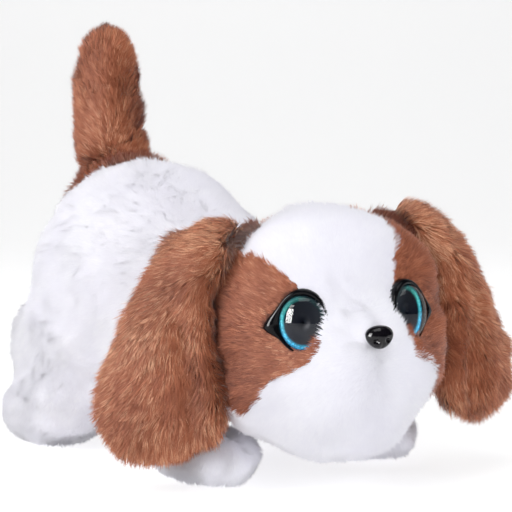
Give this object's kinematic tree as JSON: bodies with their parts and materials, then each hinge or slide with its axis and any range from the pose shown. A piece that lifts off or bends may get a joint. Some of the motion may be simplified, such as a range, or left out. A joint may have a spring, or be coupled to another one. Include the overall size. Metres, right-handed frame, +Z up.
{
  "type": "interactive plush puppy",
  "caption": "Plush puppy with a plastic inner shell, battery box, speaker, touch button, geared wagging tail, turning and nodding head and loose floppy ears.",
  "frame": {"origin": "centre of the bounding box footprint, on the floor under the paws", "axes": "+Z up, the puppy faces -Y, its left side is +X"},
  "size_m": [0.1716, 0.25, 0.1878],
  "materials": {
    "white_plush": "short white pile",
    "brown_plush": "long reddish-brown pile",
    "shell_plastic": "moulded, satin",
    "black_plastic": "gloss black",
    "gear_plastic": "natural acetal",
    "iris_print": "printed turquoise ring round a black pupil",
    "clear_dome": "clear gloss",
    "steel": "plated",
    "board_green": "solder mask",
    "board_black": "moulded black",
    "cell_wrap": "printed steel can",
    "paper_cone": "black paper"
  },
  "bodies": {
    "body": {"torso_plush": "white_plush", "front_leg_left": "white_plush", "front_leg_right": "white_plush", "rear_leg_left": "white_plush", "rear_leg_right": "white_plush", "chassis_lower": "shell_plastic", "chassis_upper": "shell_plastic", "chassis_screw_1": "steel", "chassis_screw_2": "steel", "chassis_screw_3": "steel", "chassis_screw_4": "steel", "battery_1": "cell_wrap", "battery_2": "cell_wrap", "battery_3": "cell_wrap", "battery_contact_front": "steel", "battery_contact_rear": "steel", "battery_door": "shell_plastic", "battery_door_screw": "steel", "circuit_board": "board_green", "main_chip": "board_black", "board_screw_1": "steel", "board_screw_2": "steel", "speaker_frame": "steel", "speaker_cone": "paper_cone", "speaker_magnet": "steel", "power_switch": "steel", "button_switch": "board_black", "motor_can": "steel", "gear_shaft": "steel", "tail_pivot_pin": "steel", "gearbox_front_plate": "gear_plastic", "gearbox_rear_plate": "gear_plastic", "neck_bracket": "shell_plastic", "neck_screw_1": "steel", "neck_screw_2": "steel"},
    "neck": {"neck_yoke": "shell_plastic"},
    "head": {"head_plush": "white_plush", "eye_patch_left": "brown_plush", "eye_patch_right": "brown_plush", "head_shell_front": "shell_plastic", "head_shell_back": "shell_plastic", "nod_pin": "steel", "nose": "black_plastic", "eye_bezel_left": "black_plastic", "eye_bezel_right": "black_plastic", "eye_iris_left": "iris_print", "eye_iris_right": "iris_print", "eye_lens_left": "clear_dome", "eye_lens_right": "clear_dome", "ear_anchor_left": "shell_plastic", "ear_anchor_right": "shell_plastic"},
    "left_ear": {"ear_left": "brown_plush"},
    "right_ear": {"ear_right": "brown_plush"},
    "tail": {"tail_lever": "gear_plastic", "tail_plush": "brown_plush"},
    "gear": {"compound_gear": "gear_plastic"},
    "rotor": {"motor_pinion": "gear_plastic"},
    "touch_button": {"back_button": "black_plastic"},
    "switch_slider": {"power_slider": "black_plastic"}
  },
  "joints": [
    {"name": "head_turn", "type": "hinge", "parent": "body", "child": "neck", "pos_m": [0.0012, -0.04197, 0.06], "axis": [0, 0, 1], "range_deg": [-6, 43]},
    {"name": "head_nod", "type": "hinge", "parent": "neck", "child": "head", "pos_m": [-0.00421, -0.05861, 0.068], "axis": [0.9511, -0.309, 0], "range_deg": [-14, 2.5]},
    {"name": "ear_left_flop", "type": "hinge", "parent": "head", "child": "left_ear", "pos_m": [0.02369, -0.07399, 0.1071], "axis": [-0.309, -0.9511, 0], "range_deg": [0, 40]},
    {"name": "ear_right_flop", "type": "hinge", "parent": "head", "child": "right_ear", "pos_m": [-0.03994, -0.05331, 0.10359], "axis": [-0.309, -0.9511, 0], "range_deg": [-40, 0]},
    {"name": "tail_wag", "type": "hinge", "parent": "body", "child": "tail", "pos_m": [0.0012, 0.09003, 0.086], "axis": [0, 1, 0], "range_deg": [-18, 18]},
    {"name": "gear_spin", "type": "hinge", "parent": "body", "child": "gear", "pos_m": [0.0012, 0.09003, 0.062], "axis": [0, 1, 0], "range_deg": [-54.5, 54.5]},
    {"name": "rotor_spin", "type": "hinge", "parent": "body", "child": "rotor", "pos_m": [-0.0138, 0.08403, 0.04523], "axis": [0, 1, 0], "range_deg": [-217, 217]},
    {"name": "button_press", "type": "slide", "parent": "body", "child": "touch_button", "axis": [0, 0, -1], "range_m": [0, 0.0015], "stiffness_N_per_m": 600},
    {"name": "power_slide", "type": "slide", "parent": "body", "child": "switch_slider", "axis": [0, 1, 0], "range_m": [0, 0.0026]}
  ],
  "couplings": [
    {"joint": "gear_spin", "follows": "tail_wag", "ratio": -3},
    {"joint": "rotor_spin", "follows": "tail_wag", "ratio": 12}
  ]
}
